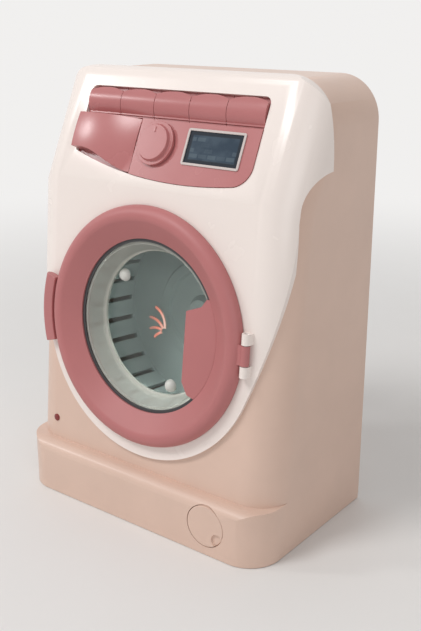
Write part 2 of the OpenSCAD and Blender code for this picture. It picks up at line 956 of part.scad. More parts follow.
// Half section of the ring: round rim, a slope in to the window, and a collar behind
module ring_section() {
    lip = [window_r, lip_n];
    reach = rim_centre - lip;
    lift = atan2(reach[1], reach[0]) + asin(rim_r / norm(reach));
    run_in = sqrt(reach * reach - rim_r * rim_r);
    touch = lip + run_in * [cos(lift), sin(lift)];
    intersection() {
        translate(rim_centre) circle(rim_r);
        translate([0, ring_back]) square(far / 2);
    }
    polygon([lip, touch, rim_centre, [rim_centre[0], ring_back], [collar_r, ring_back],
        [collar_r, collar_back], [window_r, collar_back]]);
}

module door_ring() color(pink_color) {
    on_front() difference() {
        union() {
            rotate_extrude($fn = 128) ring_section();
            translate([door_r - 4, -knuckle_half, ring_back + 0.4])
                cube([hinge_x - door_r + 4, 2 * knuckle_half, 2.6]);
            along_hinge(-knuckle_half, knuckle_half, knuckle_r);
        }
        pin_hole(pin_r + run);
    }
}

glass_back = -2;
glass_front = lip_n - 1.4;
bowl_top_r = window_r - 2.5;
bowl_low_r = window_r - 6;

module door_glass() color([0.75, 0.85, 0.85, 0.4]) {
    low = glass_back - bowl_depth;
    on_front() rotate_extrude($fn = 128) {
        polygon([[window_r, glass_back], [window_r, glass_front], [bowl_top_r, glass_front],
            [bowl_low_r, low + bowl_wall], [0, low + bowl_wall], [0, low], [bowl_low_r + 0.6, low],
            [bowl_top_r + bowl_wall, glass_back]]);
    }
}

module door_seal() color(dark_color) {
    on_front() tube(window_r, window_r - 1.3, glass_front, lip_n - infill_t);
}

// Plate over the right of the window, flush with the ring's inner edge
infill_t = 0.7;

module door_infill() color(pink_color) {
    on_front() translate([0, 0, lip_n - infill_t]) linear_extrude(infill_t) intersection() {
        circle(window_r, $fn = 128);
        polygon([[21, 11], [28.5, 14], [31, 17.5], [60, 17.5], [60, -25], [27, -25],
            [23.5, -24], [20.5, -19]]);
    }
}

// Fan of four curved strokes on the bottom of the bowl
bowl_floor = glass_back - bowl_depth + bowl_wall;

module door_swirl() color("#e3a08a") {
    stroke_r = 8;
    stroke_w = 1.1;
    on_front() translate([3, -3, bowl_floor])
        for (i = [0:3])
            rotate([0, 0, -5 + 38 * i]) translate([-stroke_r, 1.5, 0])
                rotate_extrude(angle = 78 - 14 * i)
                    translate([stroke_r - stroke_w / 2, 0]) square([stroke_w, 0.5]);
}

// Two white domes on the bottom of the bowl
module bowl_bosses() color("white") {
    boss_at_r = 27;
    on_front() for (angle = [139, 287])
        rotate([0, 0, angle]) translate([boss_at_r, 0, bowl_floor]) intersection() {
            sphere(r = 2.8);
            rod(4, 0, 4);
        }
}

// Grip on the edge of the ring, opposite the hinge, with a round outer rim
module door_handle() color(pink_color) {
    reach = 4.4;
    half_t = 1.9;
    angle = 32;
    on_front() rotate([0, 0, 180 + 1 - angle / 2]) rotate_extrude(angle = angle) {
        translate([door_r + reach, ring_back + half_t]) circle(half_t);
        translate([door_r, ring_back]) square([reach, 2 * half_t]);
    }
}

// Tongue behind the ring that snaps into the slot of the shell
module door_latch() color(pink_color) {
    latch_back = -5;
    on_front() translate([latch_x - latch_size[0] / 2, -latch_size[1] / 2, latch_back])
        difference() {
            cube([latch_size[0], latch_size[1], ring_back - latch_back]);
            translate([1.4, -1, 2]) cube([5, 20, 3.5]);
        }
}

module door_hinge_pin() color("silver") {
    on_front() along_hinge(-knuckle_half - knuckle_len, knuckle_half + knuckle_len, pin_r);
}

// Drum and its drive, on the front frame

drum_in = drum_r - drum_wall;
drum_floor = drum_back + 2;
hub_r = 8;
hub_back = drum_back - 4;
hub_front = drum_back + 5;

module drum() color("#8b918e") {
    slot_w = 2.2;
    slot_start = 3.5;
    slot_len = drum_len - 2 * slot_start;
    on_front() difference() {
        rotate_extrude($fn = 128) {
            // Half section: a rolled lip at the mouth, a raised ring and a domed hub on the floor
            polygon([[0, drum_back], [drum_r, drum_back], [drum_r, drum_front],
                [drum_in - 1, drum_front], [drum_in - 1, drum_front - 1.2],
                [drum_in, drum_front - 2.2], [drum_in, drum_floor],
                [24, drum_floor], [23, drum_floor + 1.2], [19, drum_floor + 1.2],
                [18, drum_floor], [hub_r, drum_floor], [hub_r - 2, hub_front], [0, hub_front]]);
            translate([0, hub_back]) square([hub_r, -hub_back + drum_back + eps]);
        }
        rod(shaft_r, hub_back - 1, drum_back + 3);
        for (i = [0:drum_slots - 1])
            rotate([0, 0, i * 360 / drum_slots])
                translate([drum_in - 1, -slot_w / 2, drum_back + slot_start])
                    cube([5, slot_w, slot_len]);
    }
}

// Involute spur gear: teeth point at angle 0, one statement for each curve of a tooth
pressure = 20;
backlash = 0.2;
addendum = 0.75;
dedendum = 1.1;

function involute(base_r, t) = base_r * [cos(t) + t * PI / 180 * sin(t), sin(t) - t * PI / 180 * cos(t)];
function turned(p, a) = [p[0] * cos(a) - p[1] * sin(a), p[0] * sin(a) + p[1] * cos(a)];

module gear(teeth, thick, bore_r, phase) {
    pitch_r = teeth * tooth_module / 2;
    base_r = pitch_r * cos(pressure);
    tip_r = pitch_r + addendum * tooth_module;
    root_r = pitch_r - dedendum * tooth_module;
    start_r = max(base_r, root_r);
    half = 90 / teeth - backlash / 2 / pitch_r * 180 / PI / 2;
    spread = tan(pressure) * 180 / PI - pressure;
    t0 = sqrt(pow(start_r / base_r, 2) - 1) * 180 / PI;
    t1 = sqrt(pow(tip_r / base_r, 2) - 1) * 180 / PI;
    steps = 4;
    flank = [for (i = [0:steps]) turned(involute(base_r, t0 + (t1 - t0) * i / steps), -half - spread)];
    tooth = concat([[root_r * cos(half + spread), -root_r * sin(half + spread)]], flank,
        [for (i = [steps:-1:0]) [flank[i][0], -flank[i][1]]],
        [[root_r * cos(half + spread), root_r * sin(half + spread)]]);
    outline = [for (k = [0:teeth - 1], p = tooth) turned(p, phase + k * 360 / teeth)];
    difference() {
        linear_extrude(thick) polygon(outline);
        translate([0, 0, -1]) cylinder(r = bore_r, h = thick + 2);
    }
}

small_gap = (drum_teeth + pinion_teeth) * tooth_module / 2;
large_gap = (wheel_teeth + pinion_teeth) * tooth_module / 2;
toward = [cos(gear_angle), sin(gear_angle)];
reduction_place = small_gap * toward;
motor_place = (small_gap + large_gap) * toward;
wheel_back = plate_back - 5.5;
wheel_front = plate_back - 2.5;
drum_gear_back = wheel_back - 5;
drum_gear_front = wheel_back - 1.5;
axle_r = 1.5;

// Phase that puts a gap of the second gear on a tooth of the first, along direction a
function mesh_phase(a, phase, teeth, teeth2) = a + 180 - (phase - a) * teeth / teeth2 - 180 / teeth2;
pinion_phase = mesh_phase(gear_angle, 0, drum_teeth, pinion_teeth);
motor_phase = mesh_phase(gear_angle, pinion_phase, wheel_teeth, pinion_teeth);

module drum_shaft() color("silver") {
    on_front() rod(shaft_r, drum_gear_back - 3, drum_back + 3);
}

module drum_gear() color("#d9cfa6") {
    on_front() {
        translate([0, 0, drum_gear_back])
            gear(drum_teeth, drum_gear_front - drum_gear_back, shaft_r, 0);
        tube(6, shaft_r, drum_gear_front - eps, plate_back - 2.2);
    }
}

module shaft_clip() color("silver") {
    on_front() tube(5, shaft_r, drum_gear_back - 1, drum_gear_back);
}

module gear_plate() color("#c8c3bf") {
    on_front() difference() {
        translate([0, 0, plate_back]) linear_extrude(plate_t)
            rounded_rect(2 * plate_fix_x + 9, 88, 4);
        rod(shaft_r + 2, plate_back - 1, plate_front + 1);
        translate(reduction_place) rod(axle_r, plate_back - 1, plate_front + 1);
        translate(motor_place) rod(motor_nose_r + seat, plate_back - 1, plate_front + 1);
        for (p = plate_fix)
            translate(p) rod(screw_r + seat, plate_back - 1, plate_front + 1);
        // Lightening windows
        for (s = [-1, 1])
            translate([s * 30, -26, plate_back - 1]) linear_extrude(plate_t + 2) rounded_rect(16, 16, 3);
    }
}

module gear_plate_screws() color("silver") {
    on_front() for (p = plate_fix)
        translate([p[0], p[1], plate_back]) rotate([180, 0, 0]) screw(8);
}

module drum_bush() color("#c9a24a") {
    on_front() {
        tube(shaft_r + 2, shaft_r + run, plate_back - 1.5, plate_front + 1);
        tube(shaft_r + 3.5, shaft_r + run, plate_back - 1.5, plate_back);
    }
}

module reduction_axle() color("silver") {
    on_front() translate(reduction_place) rod(axle_r, drum_gear_back - 2, plate_front);
}

module reduction_gear() color("#e8e2d2") {
    on_front() translate(reduction_place) {
        translate([0, 0, wheel_back])
            gear(wheel_teeth, wheel_front - wheel_back, axle_r + run, pinion_phase);
        translate([0, 0, drum_gear_back - 0.5])
            gear(pinion_teeth, wheel_back - drum_gear_back + 0.5 + eps, axle_r + run, pinion_phase);
    }
}

motor_r = 10;
motor_flat = 15;
motor_len = 25;
motor_nose_r = 3;
motor_pin_r = 1;

module motor() color("#a9adb0") {
    on_front() translate([motor_place[0], motor_place[1], plate_front]) {
        intersection() {
            cylinder(r = motor_r, h = motor_len);
            rotate([0, 0, gear_angle]) translate([-motor_flat / 2, -20, 0])
                cube([motor_flat, 40, motor_len]);
        }
        tube(motor_nose_r, motor_pin_r + run, -1.8, 0);
    }
}

module motor_clamp() color("#c8c3bf") {
    on_front() translate([motor_place[0], motor_place[1], plate_front])
        rotate([0, 0, gear_angle]) difference() {
            linear_extrude(7) rounded_rect(motor_flat + 3, 2 * motor_r + 3, 1.5);
            translate([0, 0, -1]) linear_extrude(9)
                square([motor_flat + 0.2, 2 * motor_r + 0.2], center = true);
        }
}

module motor_pinion() color("#b8b2a2") {
    on_front() translate(motor_place) {
        translate([0, 0, wheel_back - 0.5])
            gear(pinion_teeth, wheel_front - wheel_back + 1, motor_pin_r - eps, motor_phase);
        rod(motor_pin_r, wheel_back - 1.5, plate_front);
    }
}

// Sound and power, on the rear cover

module speaker() color(dark_color) {
    translate([speaker_place[0], cover_y, speaker_place[1]]) rotate([90, 0, 0]) {
        tube(speaker_r, speaker_r - speaker_rim, 0, 1.6);
        translate([0, 0, 0.8]) cylinder(r1 = speaker_r - speaker_rim, r2 = 6, h = 3);
        rod(7, 3, 6);
    }
}

module switch_body() color(dark_color) {
    size = [18, 6, 8];
    difference() {
        translate([switch_place[0] - size[0] / 2, cover_y - size[1], switch_place[1] - size[2] / 2])
            cube(size);
        switch_cut(cover_y - 2.5, 5);
    }
}

module power_slider() color("#2b2b2b") {
    translate([switch_place[0] - switch_travel / 2, cover_y, switch_place[1]]) difference() {
        translate([-4.7, -2.2, -2]) cube([9.4, 2.2 + cover_t - 0.3, 4]);
        for (i = [-2:2])
            translate([i * 1.5 - 0.3, cover_t - 0.9, -3]) cube([0.6, 2, 6]);
    }
}

body_shell();
front_shell();
rear_cover();
base_plate();
filter_cap();
indicator_lens();
control_panel();
lcd_bezel();
lcd_window();
lcd_module();
key_carrier();
keypad_mat();
circuit_board();
knob_switch();
board_screws();
key(1);  // key_1
key(2);  // key_2
key(3);  // key_3
key(4);  // key_4
key(5);  // key_5
program_knob();
detergent_drawer();
door_ring();
door_infill();
door_seal();
door_glass();
door_swirl();
bowl_bosses();
door_handle();
door_latch();
door_hinge_pin();
drum();
drum_shaft();
drum_gear();
shaft_clip();
gear_plate();
drum_bush();
reduction_axle();
reduction_gear();
motor();
motor_clamp();
motor_pinion();
battery_box();
batteries();
battery_contacts();
battery_cover();
battery_screw();
speaker();
switch_body();
power_slider();
shell_screws();
gear_plate_screws();
rear_screws();
base_screws();
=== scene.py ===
# Toy front-loading washing machine: finishes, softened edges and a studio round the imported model.
# Metres, +Z up, front towards -Y, origin at the middle of the resting face.
import math

import bmesh
import bpy
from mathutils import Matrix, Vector
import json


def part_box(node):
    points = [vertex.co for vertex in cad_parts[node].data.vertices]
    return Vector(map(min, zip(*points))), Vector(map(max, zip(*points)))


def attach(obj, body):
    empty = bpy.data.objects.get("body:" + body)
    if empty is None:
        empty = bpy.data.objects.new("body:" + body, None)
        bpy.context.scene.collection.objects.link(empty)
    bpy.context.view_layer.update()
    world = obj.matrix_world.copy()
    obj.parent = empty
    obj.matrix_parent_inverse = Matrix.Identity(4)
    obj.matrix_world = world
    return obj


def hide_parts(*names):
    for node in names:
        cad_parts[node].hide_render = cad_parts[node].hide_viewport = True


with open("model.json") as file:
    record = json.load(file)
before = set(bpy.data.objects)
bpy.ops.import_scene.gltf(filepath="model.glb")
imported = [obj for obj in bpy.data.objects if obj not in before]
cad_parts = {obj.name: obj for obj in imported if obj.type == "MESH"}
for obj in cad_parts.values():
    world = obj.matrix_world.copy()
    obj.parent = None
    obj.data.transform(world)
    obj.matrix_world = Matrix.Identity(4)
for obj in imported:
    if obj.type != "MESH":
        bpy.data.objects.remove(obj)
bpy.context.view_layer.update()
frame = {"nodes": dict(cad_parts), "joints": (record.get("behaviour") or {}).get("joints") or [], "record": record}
nodes = frame["nodes"]
MM = 0.001
body_of = {n: b for b, members in frame["record"]["behaviour"]["bodies"].items() for n in members}
slot_of = {s["node"]: s["material_slot"] for s in frame["record"]["subparts"]}
joint_named = {j["name"]: j for j in frame["joints"]}


# Places taken from the model

# The drum's axis is the middle of the door, and points out of the leaning front
DRUM_PLACE = Vector(joint_named["drum_spin"]["pos_m"])
FRONT_OUT = Vector(joint_named["drum_spin"]["axis"])
# The knob's axis stands on the console's face, and points out of it
KNOB_PLACE = Vector(joint_named["knob_turn"]["pos_m"])
CONSOLE_OUT = Vector(joint_named["knob_turn"]["axis"])
CONSOLE_UP = CONSOLE_OUT.cross(Vector((1, 0, 0)))
STROKES_START, STROKES_END = (corner.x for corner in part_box("door_swirl"))
SCREEN_CENTRE = sum(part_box("lcd_window"), Vector()) / 2


# Camera

# The photograph's viewpoint, with a longer lens that fills the frame with the toy
CAMERA_PLACE = Vector((247, -305, 215)) * MM
CAMERA_AIM = Vector((19, -8, 90.8)) * MM
# Both in millimetres
FOCAL_LENGTH = 53.6
SENSOR_WIDTH = 36
NEAREST_SEEN = 10 * MM


def make_camera():
    data = bpy.data.cameras.new("camera")
    data.lens = FOCAL_LENGTH
    data.sensor_width = SENSOR_WIDTH
    data.clip_start = NEAREST_SEEN
    camera = bpy.data.objects.new("camera", data)
    camera.location = CAMERA_PLACE
    camera.rotation_euler = (CAMERA_AIM - CAMERA_PLACE).to_track_quat("-Z", "Y").to_euler()
    bpy.context.scene.collection.objects.link(camera)
    bpy.context.scene.camera = camera


make_camera()


# Colours

def srgb(red, green, blue):
    """A colour as it looks on a screen, 0 to 255, as the linear value that shaders take."""
    def linear(c):
        c /= 255
        return c / 12.92 if c <= 0.04045 else ((c + 0.055) / 1.055) ** 2.4
    return (linear(red), linear(green), linear(blue), 1)


def scaled(colour, factor):
    """A colour made darker or lighter by a factor."""
    return tuple(min(1, c * factor) for c in colour[:3]) + (1,)


def paled(colour, share):
    """A colour moved towards white by a share of the way."""
    return tuple(c + (1 - c) * share for c in colour[:3]) + (1,)


BLACK = (0, 0, 0, 1)
FULL_WHITE = (1, 1, 1, 1)
BEIGE = srgb(217, 188, 172)
WHITE = srgb(240, 229, 223)
PINK = srgb(180, 111, 111)
BACKDROP = (0.88, 0.87, 0.86, 1)
FLOOR_DARK = (0.78, 0.77, 0.76, 1)
FLOOR_PALE = (0.81, 0.80, 0.79, 1)
SOFT_LIGHT = (1, 0.985, 0.97, 1)


# Shader trees

# The range that most values of a noise lie in
NOISE_SPAN = (0.3, 0.7)
EDGE_SAMPLES = 6
# The dot product of the rounded and the plain normal, from a plain face to a worn edge
EDGE_SPAN = (0.98, 0.75)


class ShaderTree:
    """A node tree under construction, with short ways to add and join nodes."""

    def __init__(self, tree):
        self.nodes = tree.nodes
        self.links = tree.links

    def node(self, kind, **settings):
        """Adds a node. Each setting is one of its properties, or else one of its inputs."""
        made = self.nodes.new(kind)
        for key, value in settings.items():
            if hasattr(made, key):
                setattr(made, key, value)
            else:
                made.inputs[key].default_value = value
        return made

    def join(self, source, target):
        self.links.new(source, target)

    def feed(self, value, target):
        """Gives an input a value, or the output of another node."""
        if isinstance(value, bpy.types.NodeSocket):
            self.join(value, target)
        else:
            target.default_value = value

    def ranged(self, source, span, result):
        """Carries a value from one range over to another, and holds it within that."""
        made = self.node("ShaderNodeMapRange")
        for key, value in zip(("From Min", "From Max", "To Min", "To Max"), span + result):
            made.inputs[key].default_value = value
        self.join(source, made.inputs["Value"])
        return made.outputs["Result"]

    def number(self, operation, a, b=0):
        made = self.node("ShaderNodeMath", operation=operation)
        for socket, value in zip(made.inputs, (a, b)):
            self.feed(value, socket)
        return made.outputs["Value"]

    def vector(self, operation, a, b=(0, 0, 0)):
        made = self.node("ShaderNodeVectorMath", operation=operation)
        for socket, value in zip(made.inputs, (a, b)):
            self.feed(value, socket)
        return made.outputs["Value" if operation in ("DOT_PRODUCT", "LENGTH") else "Vector"]

    def mix(self, amount, a, b):
        made = self.node("ShaderNodeMix", data_type="RGBA")
        for name, value in (("Factor_Float", amount), ("A_Color", a), ("B_Color", b)):
            self.feed(value, next(s for s in made.inputs if s.identifier == name))
        return next(s for s in made.outputs if s.identifier == "Result_Color")

    def mix_shaders(self, amount, a, b):
        made = self.node("ShaderNodeMixShader")
        for socket, source in zip(made.inputs, (amount, a, b)):
            self.join(source, socket)
        return made.outputs["Shader"]

    def seen_rays(self):
        """1 for what the camera sees, also by reflection or through something clear, and 0 for light."""
        path = self.node("ShaderNodeLightPath")
        seen = self.number("MAXIMUM", path.outputs["Is Camera Ray"], path.outputs["Is Glossy Ray"])
        return self.number("MAXIMUM", seen, path.outputs["Is Transmission Ray"])


class Finish(ShaderTree):
    """A material under construction, which is patterned by the place on the piece."""

    def __init__(self, name):
        self.material = bpy.data.materials.new(name)
        self.material.use_nodes = True
        super().__init__(self.material.node_tree)
        self.shader = self.nodes["Principled BSDF"]
        self.output = self.nodes["Material Output"]
        self.place = self.node("ShaderNodeTexCoord").outputs["Object"]

    def set(self, **values):
        """Gives plain values to the shader's inputs, with _ for each space in their names."""
        for key, value in values.items():
            self.shader.inputs[key.replace("_", " ")].default_value = value

    def colour(self, source):
        self.join(source, self.shader.inputs["Base Color"])

    def roughness(self, source, span, result):
        self.join(self.ranged(source, span, result), self.shader.inputs["Roughness"])

    def surface(self, source):
        """Shows a shader in place of the plain one."""
        self.join(source, self.output.inputs["Surface"])

    def noise(self, size, detail=2, roughness=0.5, stretch=None):
        """Noise with features of about the given size in metres."""
        made = self.node("ShaderNodeTexNoise", Scale=1 / size, Detail=detail, Roughness=roughness)
        if stretch:
            mapping = self.node("ShaderNodeMapping", Scale=stretch)
            self.join(self.place, mapping.inputs["Vector"])
            self.join(mapping.outputs["Vector"], made.inputs["Vector"])
        else:
            self.join(self.place, made.inputs["Vector"])
        return made.outputs["Fac"]

    def axes(self):
        """The three coordinates of the place, by name."""
        made = self.node("ShaderNodeSeparateXYZ")
        self.join(self.place, made.inputs["Vector"])
        return made.outputs

    def edges(self, radius):
        """About 1 on convex edges and corners, 0 on plain faces."""
        bevel = self.node("ShaderNodeBevel", samples=EDGE_SAMPLES, Radius=radius)
        geometry = self.node("ShaderNodeNewGeometry")
        likeness = self.vector("DOT_PRODUCT", bevel.outputs["Normal"], geometry.outputs["Normal"])
        return self.ranged(likeness, EDGE_SPAN, (0, 1))

    def bump(self, *layers):
        """Layers are (height, distance in metres), added one after another."""
        below = None
        for height, distance in layers:
            made = self.node("ShaderNodeBump", Strength=1, Distance=distance)
            self.join(height, made.inputs["Height"])
            if below:
                self.join(below, made.inputs["Normal"])
            below = made.outputs["Normal"]
        self.join(below, self.shader.inputs["Normal"])


# Moulded plastic

# Sizes of the faint flow in the colour, of the worn patches, of the smudges and of the surface's waves
FLOW_SIZE = 28 * MM
PATCH_SIZE = 4 * MM
SMUDGE_SIZE = 16 * MM
WAVE_SIZE = 14 * MM
# Grain of the finer and of the coarser moulds
FINE_GRAIN = 0.45 * MM
COARSE_GRAIN = 1.6 * MM
WAVE_DEPTH = 0.005 * MM
GRAIN_DEPTH = 0.0015 * MM
# How far wear reaches in from an edge, and how pale it makes the plastic
WORN_WIDTH = 0.6 * MM
WORN_PALENESS = 0.25
# Roughness of the cleanest and of the most smudged places, compared with the plastic's own
CLEANEST = -0.02
MOST_SMUDGED = 0.05
PLASTIC_IOR = 1.5
COAT_ROUGHNESS = 0.12


def moulded(name, colour, gloss=0.3, grain=FINE_GRAIN, wear=0.2, coat=0.0, drift=0.05):
    """Injection-moulded plastic: faint flow in the colour, fine grain, smudged gloss, paler rubbed edges.

    gloss is its roughness, wear how strongly its edges are rubbed, and drift how far its colour varies.
    """
    f = Finish(name)
    flow = f.ranged(f.noise(FLOW_SIZE, detail=4, roughness=0.6), NOISE_SPAN, (0, 1))
    body = f.mix(flow, scaled(colour, 1 - drift), scaled(colour, 1 + drift))
    patches = f.ranged(f.noise(PATCH_SIZE, detail=3), (0.4, 0.65), (0, wear))
    scuffed = f.number("MULTIPLY", f.edges(WORN_WIDTH), patches)
    f.colour(f.mix(scuffed, body, paled(colour, WORN_PALENESS)))
    smudges = f.noise(SMUDGE_SIZE, detail=3, roughness=0.55)
    f.roughness(smudges, (0.3, 0.75), (gloss + CLEANEST, gloss + MOST_SMUDGED))
    f.bump((f.noise(grain), GRAIN_DEPTH), (f.noise(WAVE_SIZE), WAVE_DEPTH))
    f.set(IOR=PLASTIC_IOR)
    if coat:
        f.set(Coat_Weight=coat, Coat_Roughness=COAT_ROUGHNESS)
    return f.material


# Metal

TURNING_PITCH = 0.8 * MM
TURNING_DEPTH = 0.008 * MM
# The marks are this much finer along Z than across
TURNING_STRETCH = (1, 1, 14)
METAL_ROUGHNESS = (0.2, 0.4)


def metal(name, colour):
    """Machined metal with fine turning marks."""
    f = Finish(name)
    marks = f.noise(TURNING_PITCH, detail=3, roughness=0.6, stretch=TURNING_STRETCH)
    f.colour(f.mix(marks, colour, scaled(colour, 1.12)))
    f.roughness(marks, NOISE_SPAN, METAL_ROUGHNESS)
    f.bump((marks, TURNING_DEPTH))
    f.set(Metallic=1)
    return f.material


# The door's bowl

# Radius of the bowl's flat bottom, and the width of the change from bottom to wall
BOWL_FLOOR_R = 31 * MM
BOWL_FLOOR_RIM = 0.2 * MM
# Where the painted highlight at the foot of the wall begins and ends along the door's axis
BOWL_FOOT = (-8 * MM, -6.6 * MM)
# How cloudy the wall is, and how much cloudier its foot is: the paler foot is a painted highlight along the bowl's
# bottom edge
WALL_HAZE = 0.42
FOOT_PAINTED_HIGHLIGHT = 0.5
FROST = srgb(206, 206, 198)
CLEAR_TINT = srgb(240, 247, 244)
SHADOW_TINT = srgb(240, 245, 243)
BOWL_IOR = 1.35


def bowl_haze_and_rim_highlight(f):
    """How cloudy the bowl is: its wall lies farther from the door's axis than its flat bottom. Its foot is
    cloudier still, as a painted highlight along the bowl's bottom edge.
    """
    from_centre = f.vector("SUBTRACT", f.place, DRUM_PLACE)
    radius = f.vector("LENGTH", f.vector("CROSS_PRODUCT", from_centre, FRONT_OUT))
    wall = f.ranged(radius, (BOWL_FLOOR_R - BOWL_FLOOR_RIM, BOWL_FLOOR_R), (0, 1))
    along = f.vector("DOT_PRODUCT", from_centre, FRONT_OUT)
    # The extra haze at the wall's foot is a painted highlight along the bowl's bottom edge
    foot_highlight = f.ranged(along, BOWL_FOOT, (FOOT_PAINTED_HIGHLIGHT, 0))
    return f.number("MULTIPLY", wall, f.number("ADD", foot_highlight, WALL_HAZE))


def clear_bowl():
    """Clear moulded plastic with a hazy side wall and a painted highlight at the wall's foot, which lets lamp
    light through to the drum.
    """
    f = Finish("clear plastic")
    f.roughness(f.noise(9 * MM, detail=4, roughness=0.6), (0.35, 0.75), (0.03, 0.1))
    f.bump((f.noise(12 * MM), 0.03 * MM))
    f.set(Base_Color=CLEAR_TINT, Transmission_Weight=1, IOR=BOWL_IOR)
    frost = f.node("ShaderNodeBsdfDiffuse", Color=FROST)
    frosted_with_rim_highlight = f.mix_shaders(bowl_haze_and_rim_highlight(f), f.shader.outputs["BSDF"], frost.outputs["BSDF"])
    clear = f.node("ShaderNodeBsdfTransparent", Color=SHADOW_TINT)
    path = f.node("ShaderNodeLightPath")
    f.surface(f.mix_shaders(path.outputs["Is Shadow Ray"], frosted_with_rim_highlight, clear.outputs["BSDF"]))
    return f.material


# The display

# Half width and half height of the paler field in the dark border, and how softly it ends
SCREEN_FIELD = (11 * MM, 4.7 * MM)
SCREEN_FADE = 0.5 * MM
# Width of the bricks that the faint blocks are drawn with, and the gap between them
BLOCK_WIDTH = 9 * MM
BLOCK_GAP = 0.04
BLOCK_STRENGTH = 0.35
SCREEN_BORDER = srgb(40, 46, 54)
SCREEN_DARK = srgb(50, 64, 78)
SCREEN_HAZE = srgb(78, 92, 104)
SCREEN_BLOCKS = srgb(104, 118, 126)


def screen():
    """Tinted display: a dark border round a paler field with faint blocks that stand for no digits."""
    f = Finish("display window")
    x = f.number("SUBTRACT", f.axes()["X"], SCREEN_CENTRE.x)
    up = f.vector("DOT_PRODUCT", f.place, CONSOLE_UP)
    y = f.number("SUBTRACT", up, SCREEN_CENTRE.dot(CONSOLE_UP))
    inner_x, inner_y = (f.ranged(f.number("ABSOLUTE", value), (half, half + SCREEN_FADE), (1, 0))
                        for value, half in zip((x, y), SCREEN_FIELD))
    field = f.number("MULTIPLY", inner_x, inner_y)
    flat = f.node("ShaderNodeCombineXYZ")
    f.join(x, flat.inputs["X"])
    f.join(y, flat.inputs["Y"])
    blocks = f.node("ShaderNodeTexBrick", offset=0.5, Scale=1 / BLOCK_WIDTH, Color1=BLACK,
                    Color2=FULL_WHITE, Mortar=BLACK)
    blocks.inputs["Mortar Size"].default_value = BLOCK_GAP
    f.join(flat.outputs["Vector"], blocks.inputs["Vector"])
    lit = f.ranged(blocks.outputs["Color"], (0.4, 0.9), (0, 1))
    haze = f.ranged(f.noise(6 * MM, detail=3), (0.35, 0.65), (0, 0.5))
    shade = f.mix(haze, SCREEN_DARK, SCREEN_HAZE)
    shade = f.mix(f.number("MULTIPLY", lit, BLOCK_STRENGTH), shade, SCREEN_BLOCKS)
    f.colour(f.mix(field, SCREEN_BORDER, shade))
    f.roughness(f.noise(5 * MM, detail=4), NOISE_SPAN, (0.25, 0.4))
    f.set(IOR=1.45, Specular_IOR_Level=0.12)
    return f.material


# The strokes behind the window

STROKES_FAR = srgb(150, 118, 110)
STROKES_MIDDLE = srgb(232, 142, 118)
STROKES_NEAR = srgb(250, 222, 210)


def strokes():
    """Salmon plastic that pales towards the side where the strokes meet."""
    f = Finish("salmon plastic")
    toward = f.ranged(f.axes()["X"], (STROKES_START, STROKES_END), (0, 1))
    warm = f.mix(f.ranged(toward, (0, 0.6), (0, 1)), STROKES_FAR, STROKES_MIDDLE)
    f.colour(f.mix(f.ranged(toward, (0.55, 1), (0, 0.8)), warm, STROKES_NEAR))
    f.roughness(f.noise(3 * MM, detail=3), NOISE_SPAN, (0.25, 0.35))
    f.bump((f.noise(0.6 * MM), 0.004 * MM))
    return f.material


# Electrics

TRACKS_PER_METRE = 260
TRACK_HEIGHT = 0.03 * MM
RESIST_GREEN = srgb(22, 78, 46)
TRACK_GREEN = srgb(58, 122, 74)


def board():
    """Printed board: green resist with paler copper runs under it."""
    f = Finish("printed board")
    runs = f.node("ShaderNodeTexVoronoi", feature="DISTANCE_TO_EDGE", distance="CHEBYCHEV",
                  Scale=TRACKS_PER_METRE)
    f.join(f.place, runs.inputs["Vector"])
    track = f.ranged(runs.outputs["Distance"], (0.06, 0.1), (1, 0))
    f.colour(f.mix(track, RESIST_GREEN, TRACK_GREEN))
    f.roughness(f.noise(2 * MM), NOISE_SPAN, (0.2, 0.4))
    f.bump((track, TRACK_HEIGHT))
    return f.material


# Where the green part of a cell's jacket ends and the gold part begins, along X
JACKET_SEAM = (8.5 * MM, 8.8 * MM)
JACKET_GREENS = (srgb(60, 84, 58), srgb(74, 100, 70))
JACKET_GOLD = srgb(178, 150, 92)


def cell_jacket():
    """Plain two-tone jacket of a dry cell, with fine scratches along it."""
    f = Finish("cell jacket")
    band = f.ranged(f.axes()["X"], JACKET_SEAM, (0, 1))
    scratches = f.noise(1.2 * MM, detail=4, roughness=0.6, stretch=(0.2, 1, 1))
    f.colour(f.mix(band, f.mix(scratches, *JACKET_GREENS), JACKET_GOLD))
    f.roughness(scratches, NOISE_SPAN, (0.25, 0.42))
    f.bump((scratches, 0.006 * MM))
    return f.material


# Finishes, by the record's material slots

